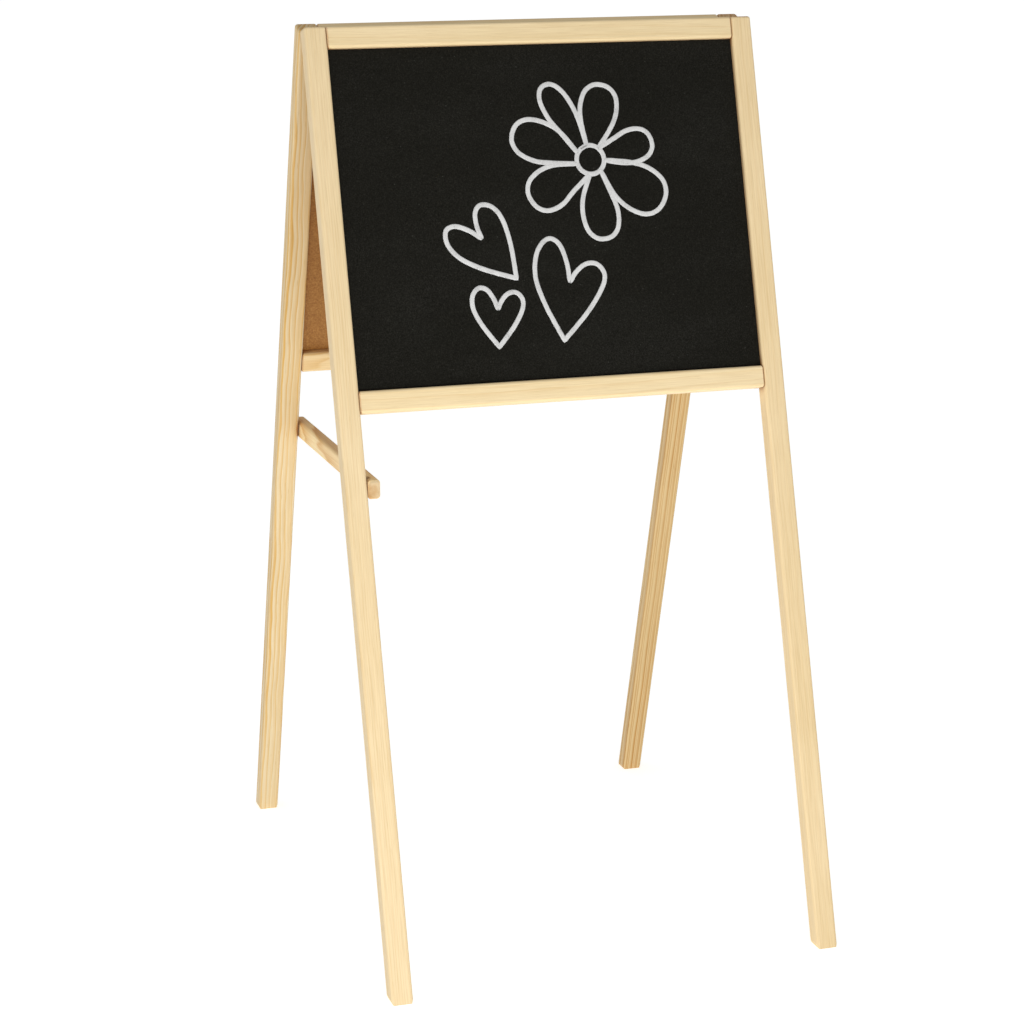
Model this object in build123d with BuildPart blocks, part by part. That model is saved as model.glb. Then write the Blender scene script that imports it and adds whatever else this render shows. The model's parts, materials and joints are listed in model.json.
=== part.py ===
from build123d import *
import math
import os

# A folding A-frame drawing easel for children: two pine frames hinged at the top,
# a chalkboard in the front one, a whiteboard in the rear one, and one wooden stay
# between the left stiles. Units are millimetres.
# Frame: +X to the easel's right as seen from the chalkboard, -Y towards the person
# drawing on it, +Z up. The origin is on the floor, midway between the four feet.

# ---- driving dimensions ----
frame_width = 441.0        # outside to outside of the stiles
stile_length = 897.5       # on the stile's outer face, from its top end to the floor
stile_width = 20.8         # across the easel
stock_depth = 18.4         # from a frame's inner face to its outer face
lean = 17.0                # degrees that each frame leans from upright when open
rail_height = 20.8
board_height = 316.5       # clear height between the two rails
edge_round = 3.0           # rounding along every stick
stile_end_round = 2.7      # rounding round the stile's top end
rail_end_bevel = 1.2
sole_bevel_width = 1.6     # bevel on both sides of each foot
sole_bevel_height = 4.0

# ---- panels in their grooves ----
panel_inset = 9.0          # from a frame's inner face to the panel's back
panel_core = 2.6           # hardboard
panel_skin = 0.4           # drawing surface on the hardboard
panel_tongue = 6.0         # how far a panel reaches into each groove
groove_play = 0.1          # each side of the panel
groove_extra = 0.5         # beyond the panel's edge

# ---- dowels ----
dowel_radius = 3.0
dowel_in_stile = 14.0
dowel_in_rail = 16.0
dowel_from_rail_back = 7.75    # from the rail's edge that is away from the board

# ---- hinges ----
hinge_x = 135.0            # centre of each hinge, left and right of the middle
hinge_length = 36.0
knuckle_radius = 2.5
pin_radius = 1.2
pin_play = 0.05            # running clearance in the rear leaf
pin_above_top = 1.0        # the pin's axis stands this far above the stiles' top ends
leaf_thickness = 1.1
leaf_gap = 0.2             # between the two leaves when the easel is folded
leaf_reach = 18.0          # from the pin's axis to the leaf's free edge
leaf_corner = 1.5
middle_knuckle = 12.0
knuckle_gap = 0.3
screw_row = 11.0           # from the pin's axis to the row of screws
hinge_screw_pitch = 12.0
hinge_screw_radius = 1.5
hinge_screw_head = 2.4
hinge_screw_length = 12.0
hinge_screw_tip = 3.0
pin_end_bevel = 0.3
recess_length = 2.6        # cross recess in a hinge screw's head
recess_width = 0.7
recess_depth = 0.6
countersink_angle = 90     # degrees

# ---- stay ----
stay_height = 448.0        # height of its middle line above the floor
stay_depth = 18.0
stay_thickness = 12.0
stay_stand_off = 0.7       # from the stiles' inner faces
stay_front_overhang = 8.0  # past the catch peg
stay_rear_overhang = 17.0  # past the pivot screw
stay_round = 3.4
stay_end_round = 2.8
washer_radius = 5.0
pivot_radius = 2.0
pivot_play = 0.08
pivot_screw_length = 28.0
pivot_head_radius = 4.0
pivot_head_height = 2.4
pivot_head_dome = 0.72     # the dome's shoulder, as a share of the head's radius and height
pivot_recess_length = 5.2  # cross recess in the pivot screw's head
pivot_recess_width = 1.4
pivot_recess_depth = 1.2
side_play = 0.1            # between the stay and what holds it sideways
peg_radius = 3.0
peg_in_stile = 12.0
peg_out = 5.5
peg_end_bevel = 0.8
housing_depth = 5.0        # of the slanted housing in the stay that takes the peg
housing_play = 0.5
housing_slant = 60.0       # degrees between the housing and the stay

# ---- worked out from the above ----
inner_face = leaf_thickness + leaf_gap / 2
outer_face = inner_face + stock_depth
top_end = -pin_above_top
side = math.sin(math.radians(lean))
upright = math.cos(math.radians(lean))
hinge_height = (stile_length + pin_above_top) * upright - outer_face * side
stile_x = (frame_width - stile_width) / 2
stile_inner_x = frame_width / 2 - stile_width
rail_length = 2 * stile_inner_x
top_rail_v = top_end - rail_height / 2
bottom_rail_v = top_rail_v - rail_height - board_height
board_v = (top_rail_v + bottom_rail_v) / 2
panel_back = inner_face + panel_inset
panel_width = rail_length + 2 * panel_tongue
panel_height = board_height + 2 * panel_tongue
groove_depth = panel_tongue + groove_extra
groove_back = panel_back - groove_play
groove_width = panel_core + panel_skin + 2 * groove_play
mid_depth = (inner_face + outer_face) / 2
top_dowel_v = top_end - dowel_from_rail_back
bottom_dowel_v = bottom_rail_v - rail_height / 2 + dowel_from_rail_back
screw_spots = [(-hinge_screw_pitch, -screw_row), (0, -screw_row), (hinge_screw_pitch, -screw_row)]
# the stay's screw and peg sit on the stiles' middle lines
stay_v = (stay_height - hinge_height - mid_depth * side) / upright
stay_pin_y = -stay_v * side + mid_depth * upright
stay_left_x = -stile_inner_x + stay_stand_off
pivot_in_stile = pivot_screw_length - side_play - stay_thickness - stay_stand_off

# Each frame has its own plane through the hinge pins: X across the frame, Y up along
# the stiles and Z out through the face that is drawn on.
front_plane = Plane(origin=(0, 0, hinge_height), x_dir=(1, 0, 0), z_dir=(0, -upright, side))
rear_plane = Plane(origin=(0, 0, hinge_height), x_dir=(-1, 0, 0), z_dir=(0, upright, side))


def across(plane, x, v, n):
    """A plane that faces across a frame, through one of its points."""
    return Plane(origin=plane.from_local_coords((x, v, n)), x_dir=plane.y_dir, z_dir=plane.x_dir)


def along(direction):
    """An axis for picking the edges that run in one direction."""
    return Axis((0, 0, 0), direction)


def facing_in(plane, x, v):
    """A plane on the leaf's bare side that faces the other frame, for drilling outwards."""
    return Plane(origin=plane.from_local_coords((x, v, leaf_gap / 2)), x_dir=plane.x_dir,
                 z_dir=-plane.z_dir)


def save(part, name):
    """Label a finished piece and write it out."""
    part.label = name
    export_step(part, f"parts/{name}.step")


def make_stile(plane, hand, stay_hole_radius, stay_hole_depth):
    """One leg: hand is -1 or 1, the side of the frame's plane that it stands on."""
    inner_x = hand * stile_inner_x
    with BuildPart() as stile:
        with BuildSketch(plane.offset(inner_face)):
            with Locations((hand * stile_x, top_end - stile_length / 2)):
                Rectangle(stile_width, stile_length)
        extrude(amount=stock_depth)
        fillet(stile.edges().filter_by(along(plane.y_dir)), edge_round)
        fillet(stile.faces().sort_by(Axis.Z)[-1].edges(), stile_end_round)
        # the foot is cut level, then bevelled on both sides
        split(bisect_by=Plane.XY, keep=Keep.TOP)
        with BuildSketch(Plane.XZ):
            for edge_x, inward in ((inner_x, hand), (hand * frame_width / 2, -hand)):
                x = edge_x * plane.x_dir.X
                with BuildLine():
                    Polyline((x, 0), (x + inward * plane.x_dir.X * sole_bevel_width, 0),
                             (x, sole_bevel_height), close=True)
                make_face()
        extrude(amount=stile_length, both=True, mode=Mode.SUBTRACT)
        # stopped groove for the panel
        with BuildSketch(across(plane, inner_x, board_v, groove_back + groove_width / 2)):
            Rectangle(board_height + 2 * groove_depth, groove_width)
        extrude(amount=hand * groove_depth, mode=Mode.SUBTRACT)
        # blind holes for the rails' dowels
        for dowel_v in (top_dowel_v, bottom_dowel_v):
            with BuildSketch(across(plane, inner_x, dowel_v, mid_depth)):
                Circle(dowel_radius)
            extrude(amount=hand * dowel_in_stile, mode=Mode.SUBTRACT)
        if stay_hole_radius:
            with BuildSketch(across(plane, inner_x, stay_v, mid_depth)):
                Circle(stay_hole_radius)
            extrude(amount=hand * stay_hole_depth, mode=Mode.SUBTRACT)
    return stile.part


def make_rail(plane, rail_v, groove_side, dowel_v):
    """A rail between the stiles: groove_side is 1 or -1, up or down, where the board is."""
    with BuildPart() as rail:
        with BuildSketch(plane.offset(inner_face)):
            with Locations((0, rail_v)):
                Rectangle(rail_length, rail_height)
        extrude(amount=stock_depth)
        fillet(rail.edges().filter_by(Axis.X), edge_round)
        for end in (0, -1):
            chamfer(rail.faces().sort_by(Axis.X)[end].edges(), rail_end_bevel)
        groove_v = rail_v + groove_side * (rail_height - groove_depth) / 2
        with BuildSketch(plane.offset(groove_back)):
            with Locations((0, groove_v)):
                Rectangle(rail_length, groove_depth)
        extrude(amount=groove_width, mode=Mode.SUBTRACT)
        for hand in (-1, 1):
            with BuildSketch(across(plane, hand * stile_inner_x, dowel_v, mid_depth)):
                Circle(dowel_radius)
            extrude(amount=-hand * dowel_in_rail, mode=Mode.SUBTRACT)
        if groove_side < 0:
            with BuildSketch(plane.offset(inner_face)):
                for hinge_middle in (-hinge_x, hinge_x):
                    with Locations(*[(hinge_middle + spot_x, spot_v) for spot_x, spot_v in screw_spots]):
                        Circle(hinge_screw_radius)
            extrude(amount=hinge_screw_length - leaf_thickness, mode=Mode.SUBTRACT)
    return rail.part


def make_dowels(plane):
    """The four dowels that join one frame's rails to its stiles."""
    length = dowel_in_stile + dowel_in_rail
    with BuildPart() as dowels:
        for dowel_v in (top_dowel_v, bottom_dowel_v):
            for hand in (-1, 1):
                with BuildSketch(across(plane, hand * (stile_inner_x + dowel_in_stile), dowel_v, mid_depth)):
                    Circle(dowel_radius)
                extrude(amount=-hand * length)
    return dowels.part


def make_sheet(plane, back, thickness):
    """A sheet the size of the panel, starting at one depth in the frame."""
    with BuildPart() as sheet:
        with BuildSketch(plane.offset(back)):
            with Locations((0, board_v)):
                Rectangle(panel_width, panel_height)
        extrude(amount=thickness)
    return sheet.part


def make_leaf(plane, x, knuckles, bore_radius):
    """One hinge leaf: knuckles are (middle, length) pairs along the pin, measured from x."""
    plate_top = -(knuckle_radius + knuckle_gap)
    with BuildPart() as leaf:
        with BuildSketch(plane.offset(leaf_gap / 2)):
            with Locations((x, (plate_top - leaf_reach) / 2)):
                RectangleRounded(hinge_length, leaf_reach + plate_top, leaf_corner)
            for middle, length in knuckles:
                with Locations((x + middle, (plate_top - leaf_corner) / 2)):
                    Rectangle(length, leaf_corner - plate_top)
        extrude(amount=leaf_thickness)
        for middle, length in knuckles:
            with BuildSketch(across(plane, x + middle, 0, 0)):
                Circle(knuckle_radius)
            extrude(amount=length / 2, both=True)
        with BuildSketch(across(plane, x, 0, 0)):
            Circle(bore_radius)
        extrude(amount=hinge_length, both=True, mode=Mode.SUBTRACT)
        for spot_x, spot_v in screw_spots:
            with Locations(facing_in(plane, x + spot_x, spot_v)):
                CounterSinkHole(hinge_screw_radius, hinge_screw_head,
                                counter_sink_angle=countersink_angle)
    return leaf.part


def make_hinge_screws(plane):
    """The countersunk screws that hold both hinges' leaves to one frame's top rail."""
    with BuildPart() as screws:
        for hinge_middle in (-hinge_x, hinge_x):
            for spot_x, spot_v in screw_spots:
                head = plane.from_local_coords((hinge_middle + spot_x, spot_v, leaf_gap / 2))
                with BuildSketch(Plane(origin=head, x_dir=plane.x_dir, z_dir=-plane.y_dir)):
                    with BuildLine():
                        Polyline((0, 0), (hinge_screw_head, 0),
                                 (hinge_screw_radius, hinge_screw_head - hinge_screw_radius),
                                 (hinge_screw_radius, hinge_screw_length - hinge_screw_tip),
                                 (0, hinge_screw_length), close=True)
                    make_face()
                revolve(axis=Axis(head, plane.z_dir))
        with BuildSketch(plane.offset(leaf_gap / 2)):
            for hinge_middle in (-hinge_x, hinge_x):
                with Locations(*[(hinge_middle + spot_x, spot_v) for spot_x, spot_v in screw_spots]):
                    Rectangle(recess_length, recess_width)
                    Rectangle(recess_width, recess_length)
        extrude(amount=recess_depth, mode=Mode.SUBTRACT)
    return screws.part


def make_hinge_pin(x):
    """The pin of one hinge, which runs the whole length of its knuckles."""
    with BuildPart() as pin:
        with BuildSketch(across(front_plane, x, 0, 0)):
            Circle(pin_radius)
        extrude(amount=hinge_length / 2, both=True)
        chamfer(pin.edges().filter_by(GeomType.CIRCLE), pin_end_bevel)
    return pin.part


def make_stay():
    """The wooden stay, level when the easel is open, with its blind housing for the peg."""
    length = 2 * stay_pin_y + stay_front_overhang + stay_rear_overhang
    middle_y = (stay_rear_overhang - stay_front_overhang) / 2
    with BuildPart() as stay:
        with BuildSketch(Plane.YZ.offset(stay_left_x)):
            with Locations((middle_y, stay_height)):
                Rectangle(length, stay_depth)
        extrude(amount=stay_thickness)
        fillet(stay.edges().filter_by(Axis.Y), stay_round)
        for end in (0, -1):
            fillet(stay.faces().sort_by(Axis.Y)[end].edges(), stay_end_round)
        with BuildSketch(Plane.YZ.offset(stay_left_x)):
            with Locations((stay_pin_y, stay_height)):
                Circle(pivot_radius + pivot_play)
        extrude(amount=stay_thickness, mode=Mode.SUBTRACT)
        # slanted housing, open at the top edge, on the face against the stiles
        with BuildSketch(Plane.YZ.offset(stay_left_x)):
            with Locations((-stay_pin_y, stay_height)):
                Circle(peg_radius + housing_play)
                Rectangle(stay_depth, 2 * (peg_radius + housing_play), rotation=housing_slant,
                          align=(Align.MIN, Align.CENTER))
        extrude(amount=housing_depth, mode=Mode.SUBTRACT)
    return stay.part


def make_stay_washer():
    """The spacer ring between the rear left stile and the stay."""
    with BuildPart() as washer:
        with BuildSketch(Plane.YZ.offset(-stile_inner_x)):
            with Locations((stay_pin_y, stay_height)):
                Circle(washer_radius)
                Circle(pivot_radius, mode=Mode.SUBTRACT)
        extrude(amount=stay_stand_off - side_play)
    return washer.part


def make_pivot_screw():
    """The round-headed screw that the stay turns on."""
    under_head = stay_left_x + stay_thickness + side_play
    with BuildPart() as screw:
        with BuildSketch(Plane(origin=(under_head, stay_pin_y, stay_height), x_dir=(0, 1, 0),
                               z_dir=(0, 0, 1))):
            with BuildLine():
                ThreePointArc((0, -pivot_head_height),
                              (pivot_head_dome * pivot_head_radius, -pivot_head_dome * pivot_head_height),
                              (pivot_head_radius, 0))
                Polyline((pivot_head_radius, 0), (pivot_radius, 0),
                         (pivot_radius, pivot_screw_length - 2 * pivot_radius),
                         (0, pivot_screw_length), (0, -pivot_head_height))
            make_face()
        revolve(axis=Axis((0, stay_pin_y, stay_height), (1, 0, 0)))
        with BuildSketch(Plane.YZ.offset(under_head + pivot_head_height)):
            with Locations((stay_pin_y, stay_height)):
                Rectangle(pivot_recess_length, pivot_recess_width)
                Rectangle(pivot_recess_width, pivot_recess_length)
        extrude(amount=-pivot_recess_depth, mode=Mode.SUBTRACT)
    return screw.part


def make_catch_peg():
    """The hardwood peg in the front left stile that holds the stay's housing."""
    with BuildPart() as peg:
        with BuildSketch(Plane.YZ.offset(-stile_inner_x - peg_in_stile)):
            with Locations((-stay_pin_y, stay_height)):
                Circle(peg_radius)
        extrude(amount=peg_in_stile + peg_out)
        chamfer(peg.faces().sort_by(Axis.X)[-1].edges(), peg_end_bevel)
    return peg.part


os.makedirs("parts", exist_ok=True)

# hands are counted in each frame's own plane, whose X runs to the left in the rear frame
stiles = {
    "front_left_stile": make_stile(front_plane, -1, peg_radius, peg_in_stile),
    "front_right_stile": make_stile(front_plane, 1, 0, 0),
    "rear_left_stile": make_stile(rear_plane, 1, pivot_radius, pivot_in_stile),
    "rear_right_stile": make_stile(rear_plane, -1, 0, 0),
}
for name, stile in stiles.items():
    save(stile, name)

for name, plane in (("front", front_plane), ("rear", rear_plane)):
    save(make_rail(plane, top_rail_v, -1, top_dowel_v), f"{name}_top_rail")
    save(make_rail(plane, bottom_rail_v, 1, bottom_dowel_v), f"{name}_bottom_rail")
    save(make_dowels(plane), f"{name}_frame_dowels")
    save(make_hinge_screws(plane), f"{name}_hinge_screws")

save(make_sheet(front_plane, panel_back, panel_core), "chalkboard_panel")
save(make_sheet(front_plane, panel_back + panel_core, panel_skin), "chalkboard_surface")
save(make_sheet(rear_plane, panel_back, panel_core), "whiteboard_panel")
save(make_sheet(rear_plane, panel_back + panel_core, panel_skin), "whiteboard_surface")

outer_knuckle = (hinge_length - middle_knuckle) / 2 - knuckle_gap
outer_middle = (hinge_length - outer_knuckle) / 2
front_knuckles = [(-outer_middle, outer_knuckle), (outer_middle, outer_knuckle)]
for name, x in (("left", -hinge_x), ("right", hinge_x)):
    save(make_leaf(front_plane, x, front_knuckles, pin_radius), f"{name}_hinge_front_leaf")
    save(make_leaf(rear_plane, -x, [(0, middle_knuckle)], pin_radius + pin_play),
         f"{name}_hinge_rear_leaf")
    save(make_hinge_pin(x), f"{name}_hinge_pin")

save(make_stay(), "stay_bar")
save(make_stay_washer(), "stay_washer")
save(make_pivot_screw(), "stay_pivot_screw")
save(make_catch_peg(), "stay_catch_peg")
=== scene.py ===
import json
import math
import random

import bpy
from mathutils import Euler, Matrix, Vector


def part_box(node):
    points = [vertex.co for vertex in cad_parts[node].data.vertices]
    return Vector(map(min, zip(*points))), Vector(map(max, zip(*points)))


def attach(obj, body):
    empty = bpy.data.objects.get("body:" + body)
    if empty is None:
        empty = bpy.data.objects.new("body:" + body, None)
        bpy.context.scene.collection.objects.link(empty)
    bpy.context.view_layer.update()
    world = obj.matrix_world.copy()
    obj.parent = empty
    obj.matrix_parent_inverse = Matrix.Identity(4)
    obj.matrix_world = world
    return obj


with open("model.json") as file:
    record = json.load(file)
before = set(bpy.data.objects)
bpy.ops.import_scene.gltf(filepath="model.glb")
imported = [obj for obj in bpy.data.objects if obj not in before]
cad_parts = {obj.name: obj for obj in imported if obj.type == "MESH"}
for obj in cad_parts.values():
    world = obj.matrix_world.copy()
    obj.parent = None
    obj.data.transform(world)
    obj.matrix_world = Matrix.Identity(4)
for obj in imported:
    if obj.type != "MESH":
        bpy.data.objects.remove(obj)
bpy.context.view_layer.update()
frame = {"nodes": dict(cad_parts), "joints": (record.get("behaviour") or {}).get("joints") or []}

# A child's folding easel in pale pine, with a chalkboard in front and a whiteboard behind.
# Lengths are metres in the CAD frame: +X right, -Y towards the viewer of the chalkboard, +Z up.

MM = 0.001

# ---- measures read from the frame ----
fold = next(joint for joint in frame["joints"] if joint["name"] == "fold")
hinge = Vector(fold["pos_m"])
lean = math.radians(fold["range_deg"][1] / 2)
board_up = Vector((0, math.sin(lean), math.cos(lean)))
board_out = Vector((0, -math.cos(lean), math.sin(lean)))


def reach(node, direction):
    """How far a CAD node spans along a direction from the hinge: (nearest, furthest)."""
    spans = [(vertex.co - hinge).dot(direction) for vertex in frame["nodes"][node].data.vertices]
    return min(spans), max(spans)


board_face = reach("chalkboard_surface", board_out)[1]
board_middle = sum(reach("chalkboard_surface", board_up)) / 2


# ---- shader node shorthand ----
class Graph:
    """Adds nodes to one material and links them."""

    def __init__(self, name):
        self.material = bpy.data.materials.new(name)
        self.material.use_nodes = True
        self.tree = self.material.node_tree
        self.tree.nodes.clear()
        self.shader = self.tree.nodes.new("ShaderNodeBsdfPrincipled")
        output = self.tree.nodes.new("ShaderNodeOutputMaterial")
        self.tree.links.new(self.shader.outputs["BSDF"], output.inputs["Surface"])
        self.coordinates = self.tree.nodes.new("ShaderNodeTexCoord")

    def put(self, socket, value):
        if isinstance(value, bpy.types.NodeSocket):
            self.tree.links.new(value, socket)
        else:
            socket.default_value = value

    def shade(self, **values):
        for name, value in values.items():
            self.put(self.shader.inputs[name.replace("_", " ")], value)

    def math(self, operation, *values, clamp=False):
        node = self.tree.nodes.new("ShaderNodeMath")
        node.operation = operation
        node.use_clamp = clamp
        for socket, value in zip(node.inputs, values):
            self.put(socket, value)
        return node.outputs[0]

    def turned(self, vector, turn=(0, 0, 0), scale=(1, 1, 1), shift=(0, 0, 0)):
        node = self.tree.nodes.new("ShaderNodeMapping")
        self.put(node.inputs["Vector"], vector)
        node.inputs["Rotation"].default_value = turn
        node.inputs["Scale"].default_value = scale
        node.inputs["Location"].default_value = shift
        return node.outputs[0]

    def split(self, vector):
        node = self.tree.nodes.new("ShaderNodeSeparateXYZ")
        self.put(node.inputs[0], vector)
        return node.outputs

    def noise(self, vector, scale, detail=2.0, roughness=0.5):
        node = self.tree.nodes.new("ShaderNodeTexNoise")
        self.put(node.inputs["Vector"], vector)
        node.inputs["Scale"].default_value = scale
        node.inputs["Detail"].default_value = detail
        node.inputs["Roughness"].default_value = roughness
        return node.outputs["Fac"]

    def cells(self, vector, scale):
        node = self.tree.nodes.new("ShaderNodeTexVoronoi")
        self.put(node.inputs["Vector"], vector)
        node.inputs["Scale"].default_value = scale
        return node.outputs["Distance"]

    def ranged(self, value, low, high, new_low=0.0, new_high=1.0):
        node = self.tree.nodes.new("ShaderNodeMapRange")
        node.interpolation_type = "SMOOTHSTEP"
        for socket, number in zip(node.inputs, (value, low, high, new_low, new_high)):
            self.put(socket, number)
        return node.outputs["Result"]

    def ramp(self, value, *stops):
        node = self.tree.nodes.new("ShaderNodeValToRGB")
        self.put(node.inputs["Fac"], value)
        elements = node.color_ramp.elements
        while len(elements) < len(stops):
            elements.new(0.5)
        for element, (place, colour) in zip(elements, stops):
            element.position = place
            element.color = (*colour, 1)
        return node.outputs["Color"]

    def mix(self, share, first, second, blend="MIX"):
        node = self.tree.nodes.new("ShaderNodeMix")
        node.data_type = "RGBA"
        node.blend_type = blend
        self.put(node.inputs[0], share)
        for socket, value in ((node.inputs[6], first), (node.inputs[7], second)):
            self.put(socket, value if isinstance(value, bpy.types.NodeSocket) else (*value, 1))
        return node.outputs[2]

    def crevice(self, distance):
        """1 deep in a joint or corner, 0 in the open."""
        node = self.tree.nodes.new("ShaderNodeAmbientOcclusion")
        node.samples = 8
        node.inputs["Distance"].default_value = distance
        return self.ranged(node.outputs["AO"], 0.25, 0.90, 1.0, 0.0)

    def bump(self, height, strength, distance):
        node = self.tree.nodes.new("ShaderNodeBump")
        self.put(node.inputs["Height"], height)
        node.inputs["Strength"].default_value = strength
        node.inputs["Distance"].default_value = distance
        self.put(self.shader.inputs["Normal"], node.outputs["Normal"])


# ---- materials ----
# how fine the wood's patterns are, in cycles a metre
BROAD_TONE = 22
FADING = 34
RING_RIPPLE = 110
RESIN_FLECKS = 420
FIBRES = 1300
PAINTED_SHADE_REACH = 12 * MM       # how far from a joint its painted shade reaches
EARLY = (0.87, 0.700, 0.425)     # pale spring wood
LATE = (0.72, 0.455, 0.150)      # orange summer wood
END_GRAIN = (0.80, 0.66, 0.66)   # what end grain does to the colour
JOINT_SHADE = (0.42, 0.21, 0.09)  # what the painted shade in a joint does to it

# how each stick's grain is stood on Z
ALONG_FRONT_STILE = (lean, 0, 0)
ALONG_REAR_STILE = (-lean, 0, 0)
ALONG_FRONT_RAIL = (lean, math.radians(90), 0)
ALONG_REAR_RAIL = (-lean, math.radians(90), 0)
ALONG_STAY = (math.radians(90), 0, 0)


def pine(node, turn, pith, ring, contrast, seed, tone=(1, 1, 1), sway=5.0, flames=3.5,
         late_share=0.5, swirl=None, summer=LATE, end_grain=END_GRAIN, joint=1.0):
    """Pine for one stick, with the annual rings of its log. In millimetres from the stick's
    middle: pith is the log's heart (across, deep), ring the width of one year, sway how far
    the heart wanders, and swirl a knot's bulge (along, deep, size, rings). flames is how
    often the heart turns in a metre. contrast is how dark the summer wood shows, late_share
    how much of a year it takes and summer its colour. tone and, on cut
    ends, end_grain multiply the colours. joint is how much painted shade darkens the stick's joints."""
    g = Graph(f"pine_{node}")
    low, high = (Vector(corner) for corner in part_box(node))
    middle = Euler(turn).to_matrix() @ ((low + high) / 2)
    place = g.turned(g.coordinates.outputs["Object"], turn=turn, shift=-middle)
    across, deep, along = g.split(place)
    # the log's heart wanders slowly along the stick, which draws the long flames
    wander = g.turned(place, scale=(0, 0, 1), shift=(seed, 2 * seed, 0))
    heart_x = g.math("MULTIPLY_ADD", g.noise(wander, flames, 2), 2 * sway * MM, -(pith[0] + sway) * MM)
    heart_y = g.math("MULTIPLY_ADD", g.noise(wander, 0.75 * flames, 1), 2 * sway * MM,
                     -(pith[1] + sway) * MM)
    offset_x = g.math("ADD", across, heart_x)
    offset_y = g.math("ADD", deep, heart_y)
    radius = g.math("SQRT", g.math("ADD", g.math("MULTIPLY", offset_x, offset_x),
                                   g.math("MULTIPLY", offset_y, offset_y)))
    stretched = g.turned(place, scale=(1, 1, 0.10), shift=(0, seed, 0))
    ripple = g.math("MULTIPLY_ADD", g.noise(stretched, RING_RIPPLE, 2), 0.9 * ring * MM,
                    -0.45 * ring * MM)
    years = g.math("DIVIDE", g.math("ADD", radius, ripple), ring * MM)
    # good and bad years
    luck = g.noise(g.math("MULTIPLY", years, 0.4), 1.0, 1)
    years = g.math("ADD", years, g.math("MULTIPLY", luck, 2.0))
    if swirl:
        knot_along, knot_deep, size, rings = swirl
        from_along = g.math("DIVIDE", g.math("SUBTRACT", along, knot_along * MM), 2.2 * size * MM)
        from_deep = g.math("DIVIDE", g.math("SUBTRACT", deep, knot_deep * MM), size * MM)
        squared = g.math("ADD", g.math("MULTIPLY", from_along, from_along),
                         g.math("MULTIPLY", from_deep, from_deep))
        bulge = g.math("DIVIDE", rings, g.math("ADD", squared, 1.0))
        years = g.math("ADD", years, bulge)
    phase = g.math("FRACT", years)
    early = tuple(t * channel for t, channel in zip(tone, EARLY))
    late = tuple(t * channel for t, channel in zip(tone, summer))
    between = tuple(0.45 * e + 0.55 * l for e, l in zip(early, late))
    rings_drawn = g.ramp(phase, (0.0, early), (1 - 1.2 * late_share, early),
                         (1 - 0.52 * late_share, between), (1 - 0.2 * late_share, late), (1.0, early))
    fade = g.ranged(g.noise(stretched, FADING, 1), 0.25, 0.75, 0.55, 1.0)
    # cut ends show every year and are pinker and darker
    facing = g.turned(g.coordinates.outputs["Normal"], turn=turn)
    cut_end = g.ranged(g.math("ABSOLUTE", g.split(facing)[2]), 0.50, 0.92)
    shown = g.math("MAXIMUM", g.math("MULTIPLY", fade, contrast), cut_end)
    colour = g.mix(shown, early, rings_drawn)
    # broad tone, fine fibres and short resin flecks
    broad = g.noise(g.turned(place, scale=(1, 1, 0.25), shift=(seed, 0, 0)), BROAD_TONE, 2)
    tint = g.ramp(broad, (0.3, (0.965, 0.95, 0.91)), (0.7, (1.03, 1.035, 1.05)))
    colour = g.mix(1.0, colour, tint, "MULTIPLY")
    fibres = g.noise(g.turned(place, scale=(1, 1, 0.02)), FIBRES, 4, 0.65)
    threads = g.ramp(fibres, (0.30, (0.90, 0.86, 0.80)), (0.62, (1.025, 1.025, 1.03)))
    colour = g.mix(1.0, colour, threads, "MULTIPLY")
    flecks = g.cells(g.turned(place, scale=(1, 1, 0.07), shift=(0, 0, seed)), RESIN_FLECKS)
    fleck = g.ranged(flecks, 0.04, 0.14, 0.15 + 0.25 * contrast, 0.0)
    colour = g.mix(fleck, colour, tuple(0.66 * channel for channel in late))
    colour = g.mix(cut_end, colour, g.mix(1.0, colour, end_grain, "MULTIPLY"))
    # painted shade in the joints: the colour darkens where ambient occlusion finds a crevice, but not
    # round the soles
    off_floor = g.ranged(g.split(g.coordinates.outputs["Object"])[2], 4 * MM, 20 * MM)
    dust_and_painted_shade = g.math("MULTIPLY", g.crevice(PAINTED_SHADE_REACH), g.math("MULTIPLY", off_floor, joint))
    colour = g.mix(dust_and_painted_shade, colour, g.mix(1.0, colour, JOINT_SHADE, "MULTIPLY"))
    height = g.math("ADD", g.math("MULTIPLY", fibres, 0.7), g.math("MULTIPLY", phase, 0.3 * contrast))
    g.bump(height, 0.22, 0.25 * MM)
    g.shade(Base_Color=colour, Roughness=g.ranged(fibres, 0.3, 0.7, 0.60, 0.46),
            Specular_IOR_Level=0.30)
    return g.material


def beech(name, turn):
    """Turned hardwood: even, with short darker dashes along the grain."""
    g = Graph(name)
    place = g.turned(g.coordinates.outputs["Object"], turn=turn)
    grain = g.noise(g.turned(place, scale=(1, 1, 0.05)), 900, 3)
    dashes = g.cells(g.turned(place, scale=(1, 1, 0.18)), 900)
    colour = g.ramp(grain, (0.3, (0.52, 0.33, 0.17)), (0.7, (0.66, 0.45, 0.25)))
    colour = g.mix(g.ranged(dashes, 0.05, 0.2, 0.5, 0.0), colour, (0.33, 0.18, 0.08))
    g.bump(grain, 0.2, 0.15 * MM)
    g.shade(Base_Color=colour, Roughness=g.ranged(grain, 0.3, 0.7, 0.58, 0.46))
    return g.material


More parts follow.
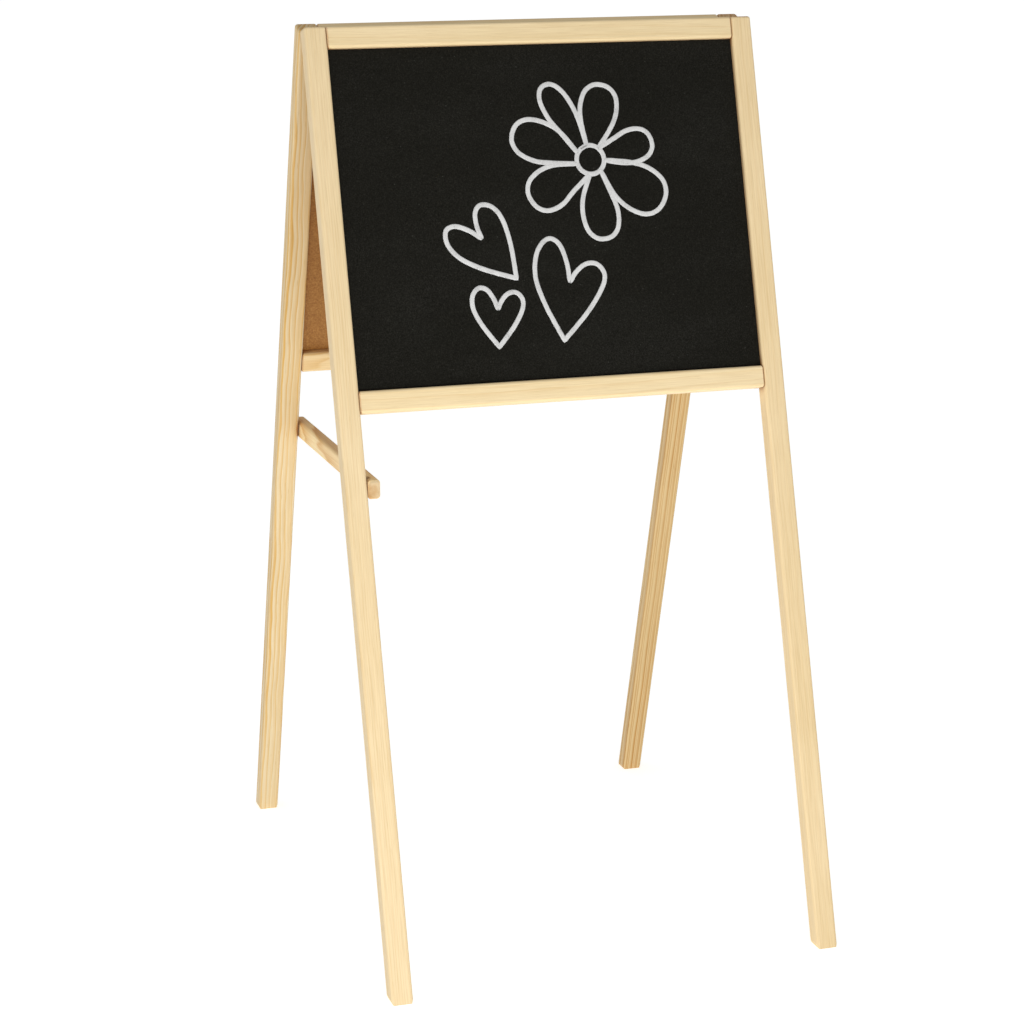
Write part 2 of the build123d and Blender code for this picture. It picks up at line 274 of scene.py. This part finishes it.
def hardboard(name):
    """Pressed brown fibreboard: matted fibres, smooth and slightly greasy."""
    g = Graph(name)
    place = g.coordinates.outputs["Object"]
    mat = g.noise(place, 520, 6, 0.7)
    clumps = g.noise(place, 24, 3)
    colour = g.ramp(mat, (0.30, (0.21, 0.080, 0.012)), (0.52, (0.365, 0.158, 0.027)),
                    (0.74, (0.49, 0.25, 0.054)))
    tint = g.ramp(clumps, (0.3, (0.94, 0.93, 0.91)), (0.7, (1.04, 1.04, 1.03)))
    colour = g.mix(1.0, colour, tint, "MULTIPLY")
    strands = g.cells(g.turned(place, scale=(1, 0.35, 0.35)), 520)
    colour = g.mix(g.ranged(strands, 0.03, 0.12, 0.55, 0.0), colour, (0.16, 0.07, 0.025))
    g.bump(mat, 0.25, 0.15 * MM)
    g.shade(Base_Color=colour, Roughness=g.ranged(mat, 0.3, 0.7, 0.62, 0.48),
            Specular_IOR_Level=0.4)
    return g.material


def chalkboard(name):
    """Matt black board paint: sandy speckle, a few pale grains and a breath of rubbed-in dust."""
    g = Graph(name)
    place = g.coordinates.outputs["Object"]
    speckle = g.noise(place, 900, 4, 0.75)
    colour = g.ramp(speckle, (0.34, (0.0045, 0.0042, 0.0030)), (0.52, (0.0105, 0.0099, 0.0075)),
                    (0.72, (0.0260, 0.0247, 0.0200)))
    wiped = g.noise(g.turned(place, turn=(lean, 0, math.radians(24)), scale=(1, 1, 2.6)), 7, 4, 0.6)
    dust_and_painted_shade = g.math("MULTIPLY", g.ranged(wiped, 0.40, 0.75), g.ranged(speckle, 0.42, 0.62, 0.25, 1.0))
    colour = g.mix(g.math("MULTIPLY", dust_and_painted_shade, 0.012), colour, (0.45, 0.45, 0.42))
    grains = g.cells(place, 95)
    colour = g.mix(g.ranged(grains, 0.035, 0.060, 0.16, 0.0), colour, (0.20, 0.20, 0.18))
    g.bump(speckle, 0.35, 0.12 * MM)
    g.shade(Base_Color=colour, Roughness=g.ranged(speckle, 0.3, 0.7, 0.90, 0.76),
            Specular_IOR_Level=0.06)
    return g.material


def whiteboard(name):
    """Glossy white laminate with a faint orange-peel and the haze of wiped-off ink."""
    g = Graph(name)
    place = g.coordinates.outputs["Object"]
    wiped = g.noise(g.turned(place, turn=(-lean, 0, math.radians(-20)), scale=(1, 1, 2.2)), 8, 4, 0.55)
    colour = g.ramp(wiped, (0.35, (0.80, 0.81, 0.81)), (0.65, (0.86, 0.865, 0.86)))
    scuffs = g.noise(g.turned(place, turn=(-lean, 0, 0), scale=(1, 1, 9)), 60, 3)
    g.bump(g.noise(place, 260, 2), 0.06, 0.10 * MM)
    g.shade(Base_Color=colour, Roughness=g.ranged(scuffs, 0.4, 0.75, 0.13, 0.24), Coat_Weight=0.4,
            Coat_Roughness=0.08)
    return g.material


def plated_steel(name):
    """Zinc-plated pressed steel: rolled lines along the leaf and a cloudy plating."""
    g = Graph(name)
    place = g.coordinates.outputs["Object"]
    lines = g.noise(g.turned(place, scale=(0.03, 1, 1)), 2600, 3)
    cloud = g.noise(place, 160, 3)
    colour = g.ramp(cloud, (0.3, (0.52, 0.50, 0.46)), (0.7, (0.72, 0.70, 0.65)))
    roughness = g.math("MULTIPLY_ADD", lines, 0.22, 0.24)
    g.bump(lines, 0.12, 0.05 * MM)
    g.shade(Base_Color=colour, Metallic=1.0, Roughness=roughness)
    return g.material


def chalk(name):
    """Chalk rubbed on: dry off-white grains that let the board show through here and there."""
    g = Graph(name)
    place = g.coordinates.outputs["Object"]
    grains = g.noise(place, 1400, 3, 0.7)
    smears = g.noise(place, 110, 2)
    cover = g.math("MULTIPLY_ADD", smears, 0.35, g.math("MULTIPLY", grains, 0.65))
    colour = g.ramp(cover, (0.30, (0.26, 0.257, 0.25)), (0.42, (0.60, 0.595, 0.585)),
                    (0.60, (0.72, 0.715, 0.705)))
    g.bump(grains, 0.5, 0.15 * MM)
    g.shade(Base_Color=colour, Roughness=0.95, Specular_IOR_Level=0.1)
    return g.material


def dress(node, material):
    """Give a CAD node its finish."""
    for slot in frame["nodes"][node].material_slots:
        slot.material = material


# Each stick comes from its own log.
STICKS = {
    "front_left_stile": dict(turn=ALONG_FRONT_STILE, pith=(62, 48), ring=1.9, contrast=0.30, seed=1.7,
                             tone=(0.95, 0.94, 0.94), end_grain=(0.93, 0.88, 0.84)),
    "front_right_stile": dict(turn=ALONG_FRONT_STILE, pith=(70, -60), ring=2.6, contrast=0.20, seed=5.1,
                              tone=(0.97, 0.95, 0.93)),
    "front_top_rail": dict(turn=ALONG_FRONT_RAIL, pith=(26, -70), ring=2.4, contrast=0.22, seed=3.3),
    "front_bottom_rail": dict(turn=ALONG_FRONT_RAIL, pith=(-40, 55), ring=3.4, contrast=0.30, seed=8.2),
    "rear_left_stile": dict(turn=ALONG_REAR_STILE, pith=(-60, 30), ring=4.4, contrast=1.0, seed=4.4,
                            tone=(0.90, 0.92, 0.95), sway=4.5, flames=11.0, late_share=0.7,
                            summer=(0.76, 0.42, 0.080), end_grain=(1.0, 0.96, 0.94)),
    # the rear right stile's darker tone is painted shade: it stands in for the dimmer light at the back
    # right
    "rear_right_stile": dict(turn=ALONG_REAR_STILE, pith=(-90, 24), ring=2.9, contrast=1.0, seed=6.6,
                             tone=(0.79, 0.73, 0.61), sway=2.0, late_share=0.6,
                             summer=(0.60, 0.29, 0.040), end_grain=(1.0, 0.92, 0.95)),
    "rear_top_rail": dict(turn=ALONG_REAR_RAIL, pith=(-12, 60), ring=2.8, contrast=0.60, seed=9.7,
                          tone=(1.10, 1.08, 1.04)),
    "rear_bottom_rail": dict(turn=ALONG_REAR_RAIL, pith=(20, 50), ring=3.6, contrast=0.80, seed=2.6,
                             tone=(0.97, 0.92, 0.83), swirl=(150, -9, 9, 1.6)),
    # the stay bar's tone above 1 is painted light: it brightens the bar where the boards shade it
    "stay_bar": dict(turn=ALONG_STAY, pith=(60, -70), ring=40.0, contrast=1.0, seed=7.5,
                     tone=(1.20, 1.17, 1.10), sway=2.0, late_share=0.75, swirl=(150, 14, 22, 3.8),
                     summer=(0.59, 0.30, 0.060), end_grain=(0.66, 0.64, 0.66), joint=0.15),
}
for node, grain in STICKS.items():
    dress(node, pine(node, **grain))

for node in ("front_frame_dowels", "rear_frame_dowels", "stay_catch_peg"):
    dress(node, beech(f"beech_{node}", (0, math.radians(90), 0)))

for node in ("chalkboard_panel", "whiteboard_panel"):
    dress(node, hardboard(f"hardboard_{node}"))
dress("chalkboard_surface", chalkboard("board_paint"))
dress("whiteboard_surface", whiteboard("white_laminate"))

steel = plated_steel("plated_steel")
for node in frame["nodes"]:
    if "hinge" in node or node in ("stay_pivot_screw", "stay_washer"):
        dress(node, steel)

# ---- chalk drawing: a flower and three hearts, in millimetres from the board's middle ----
STROKE = 4.7 * MM
THICKNESS = 0.22 * MM
LAYER = 0.02 * MM          # each stroke lies this much higher than the one before
STEP = 1.2 * MM            # between two rows of a stroke's points
END_ROWS = 4               # rows in a stroke's round end
CRUMBLE = 0.07             # how unevenly a stroke's edges run, as a share of its half width
# a stroke's section: across from edge to edge, and height
SECTION = ((-1.0, 0.0), (-0.82, 0.75), (-0.4, 1.0), (0.4, 1.0), (0.82, 0.75), (1.0, 0.0))
chalk_material = chalk("chalk")
hand = random.Random(7)


def on_board(x, v, lift):
    """A point in front of the chalkboard."""
    return hinge + Vector((x, 0, 0)) + board_up * (board_middle + v) + board_out * (board_face + lift)


def smooth_path(points):
    """Even points along a curve through all the given ones (Catmull-Rom)."""
    path = [Vector(point) for point in points]
    padded = [2 * path[0] - path[1], *path, 2 * path[-1] - path[-2]]
    curve = []
    for a, b, c, d in zip(padded, padded[1:], padded[2:], padded[3:]):
        steps = max(2, round((c - b).length / STEP))
        for i in range(steps):
            t = i / steps
            curve.append(0.5 * (2 * b + (c - a) * t + (2 * a - 5 * b + 4 * c - d) * t ** 2
                                + (3 * b - a - 3 * c + d) * t ** 3))
    return [*curve, path[-1]]


def stroke(name, runs, layer):
    """One chalk line through smooth runs of points, with a corner between two runs: a low
    crowned ribbon with crumbly edges and round ends."""
    path = smooth_path(runs[0])
    for run in runs[1:]:
        path += smooth_path(run)[1:]
    vertices = []
    left_edge = 1.0
    right_edge = 1.0
    for i, point in enumerate(path):
        ahead = path[min(i + 1, len(path) - 1)] - path[max(i - 1, 0)]
        side = Vector((-ahead.y, ahead.x)).normalized()
        left_edge += 0.5 * (hand.uniform(1 - CRUMBLE, 1 + CRUMBLE) - left_edge)
        right_edge += 0.5 * (hand.uniform(1 - CRUMBLE, 1 + CRUMBLE) - right_edge)
        from_end = min(i, len(path) - 1 - i)
        taper = math.sqrt(1 - (1 - min(from_end + 0.5, END_ROWS) / END_ROWS) ** 2)
        for across, height in SECTION:
            edge = left_edge if across < 0 else right_edge
            spot = point + side * (across * edge * taper * STROKE / 2)
            vertices.append(on_board(spot.x, spot.y, height * (THICKNESS + layer * LAYER)))
    row = len(SECTION)
    faces = []
    for i in range(len(path) - 1):
        for j in range(row):
            k = (j + 1) % row
            faces.append((i * row + j, i * row + k, (i + 1) * row + k, (i + 1) * row + j))
    faces.append(tuple(range(row)))
    faces.append(tuple(reversed(range(len(vertices) - row, len(vertices)))))
    mesh = bpy.data.meshes.new(name)
    mesh.from_pydata(vertices, [], faces)
    mesh.update()
    for face in mesh.polygons:
        face.use_smooth = True
    piece = bpy.data.objects.new(name, mesh)
    piece.data.materials.append(chalk_material)
    bpy.context.scene.collection.objects.link(piece)
    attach(piece, "front_frame")


def placed(points, origin, turn, width, length):
    """Outline points given as shares of a width and a length, turned and set on the board."""
    spin = Matrix.Rotation(turn, 2)
    return [Vector(origin) + spin @ Vector((x * width, y * length)) for x, y in points]


def ring_path(origin, radius):
    """A circle drawn by hand, its end passing its start."""
    turns = [math.radians(100 + 30 * i) for i in range(14)]
    return [Vector(origin) + radius * (1 + 0.02 * i / 14) * Vector((math.cos(a), math.sin(a)))
            for i, a in enumerate(turns)]


# a petal outside the eye: across in widths, up in lengths
PETAL = ((-0.40, 0.32), (-0.50, 0.58), (-0.45, 0.82), (-0.26, 0.96), (0.0, 1.0),
         (0.26, 0.96), (0.45, 0.82), (0.50, 0.58), (0.40, 0.32))
flower = Vector((46.5, 47)) * MM
eye_radius = 13.6 * MM
# where two petals meet on the eye, and each petal: direction, length from the middle, width;
# directions are in degrees from the right, turning left
SEAMS = (50, 100, 151, 194, 263, 312, 357, 410)
PETALS = ((75.5, 73, 36), (119, 82, 27), (159, 80, 38), (211, 72, 38), (276, 76, 35), (328, 82, 44),
          (375, 65, 31))
layer = 0
stroke("chalk_flower_eye", [ring_path(flower, eye_radius)], layer)
for number, (direction, length, width) in enumerate(PETALS, 1):
    from_right, to_left = (flower + Matrix.Rotation(math.radians(seam), 2) @ Vector((eye_radius, 0))
                           for seam in SEAMS[number - 1:number + 1])
    turn = math.radians(direction - 90)
    base = flower + Matrix.Rotation(turn, 2) @ Vector((0, eye_radius))
    outline = [to_left, *placed(PETAL, base, turn, width * MM, length * MM - eye_radius), from_right]
    layer += 1
    stroke(f"chalk_petal_{number}", [outline], layer)

# one half of a heart: across in lobe widths; up in lobe rises, or down in shares of the length
HALF_HEART = ((0.14, 0.48), (0.40, 0.90), (0.72, 0.98), (0.97, 0.62), (0.95, 0.02), (0.60, -0.45))
# each heart: notch, length down to the tip, tilt in degrees, left lobe, right lobe (width, rise)
HEARTS = (((-67, -23.5), 48.5, 38, (30, 29), (29, 25)),
          ((-58, -90.5), 34.5, -3, (25, 21), (25, 17)),
          ((15, -68.5), 55, -11, (36, 39), (34, 22)))
for number, (notch, length, tilt, left, right) in enumerate(HEARTS, 1):
    halves = []
    for side, (width, rise) in ((-1, left), (1, right)):
        half = [(0, 0), *((side * x * width, y * (rise if y > 0 else length)) for x, y in HALF_HEART),
                (0, -length)]
        halves.append(placed(half, Vector(notch) * MM, math.radians(tilt), MM, MM))
    layer += 1
    stroke(f"chalk_heart_{number}", [halves[0], halves[1][::-1]], layer)

# ---- floor, light and camera ----
FLOOR_REACH = 30.0                       # from the middle to each edge
FLOOR_GLOW = 0.60
BRIGHT_SIDE = (-0.75, -0.45, -0.35)      # the surround is brightest this way
DIM_WALL = (0.34, 0.35, 0.365, 1)
BRIGHT_WALL = (0.66, 0.66, 0.65, 1)
KEY_PLACE = Vector((-0.45, -1.5, 0.3))
KEY_AIM = Vector((0.45, 1.5, 0.0))
KEY_WIDTH = 1.1
KEY_HEIGHT = 0.45
KEY_WATTS = 8.8
CAMERA_PLACE = (-0.8292, -2.5497, 1.0502)
CAMERA_DOWN = math.radians(14.753)
CAMERA_RIGHT = math.radians(18.144)
LENS = 98.24                             # millimetres, on a 36 mm sensor
SHIFT = (-0.0205, 0.0325)


def floor_material():
    """Pale studio floor, faintly lit from within like a light table, with the faintest mottling."""
    g = Graph("studio_floor")
    mottle = g.noise(g.coordinates.outputs["Object"], 3, 4)
    g.shade(Base_Color=g.ramp(mottle, (0.3, (0.90, 0.90, 0.895)), (0.7, (0.93, 0.93, 0.925))),
            Roughness=0.8, Specular_IOR_Level=0.2, Emission_Color=(1, 1, 1, 1),
            Emission_Strength=FLOOR_GLOW)
    return g.material


corners = [(x * FLOOR_REACH, y * FLOOR_REACH, 0) for x, y in ((-1, -1), (1, -1), (1, 1), (-1, 1))]
floor_mesh = bpy.data.meshes.new("floor")
floor_mesh.from_pydata(corners, [], [(0, 1, 2, 3)])
floor = bpy.data.objects.new("floor", floor_mesh)
floor.data.materials.append(floor_material())
bpy.context.scene.collection.objects.link(floor)

world = bpy.data.worlds.new("studio")
world.use_nodes = True
sky = world.node_tree
background = sky.nodes["Background"]
background.inputs["Strength"].default_value = 1.0
view = sky.nodes.new("ShaderNodeTexCoord")
towards = sky.nodes.new("ShaderNodeVectorMath")
towards.operation = "DOT_PRODUCT"
towards.inputs[1].default_value = BRIGHT_SIDE
spread = sky.nodes.new("ShaderNodeMapRange")
spread.inputs["From Min"].default_value = -0.75
spread.inputs["From Max"].default_value = 0.65
shades = sky.nodes.new("ShaderNodeValToRGB")
sky.links.new(view.outputs["Generated"], towards.inputs[0])
sky.links.new(towards.outputs["Value"], spread.inputs["Value"])
sky.links.new(spread.outputs["Result"], shades.inputs["Fac"])
sky.links.new(shades.outputs["Color"], background.inputs["Color"])
# dim and cool on the right, bright in front on the left
shades.color_ramp.elements[0].color = DIM_WALL
shades.color_ramp.elements[1].color = BRIGHT_WALL
bpy.context.scene.world = world

# one wide, low softbox in front
key = bpy.data.lights.new("key", "AREA")
key.shape = "RECTANGLE"
key.size = KEY_WIDTH
key.size_y = KEY_HEIGHT
key.energy = KEY_WATTS
lamp = bpy.data.objects.new("key", key)
lamp.location = KEY_PLACE
lamp.rotation_euler = KEY_AIM.to_track_quat("-Z", "Y").to_euler()
bpy.context.scene.collection.objects.link(lamp)

camera = bpy.data.cameras.new("camera")
camera.lens = LENS
camera.sensor_width = 36
camera.shift_x, camera.shift_y = SHIFT
viewer = bpy.data.objects.new("camera", camera)
viewer.location = CAMERA_PLACE
viewer.rotation_euler = Euler((math.radians(90) - CAMERA_DOWN, 0, -CAMERA_RIGHT))
bpy.context.scene.collection.objects.link(viewer)
bpy.context.scene.camera = viewer
bpy.context.scene.view_settings.view_transform = "Standard"
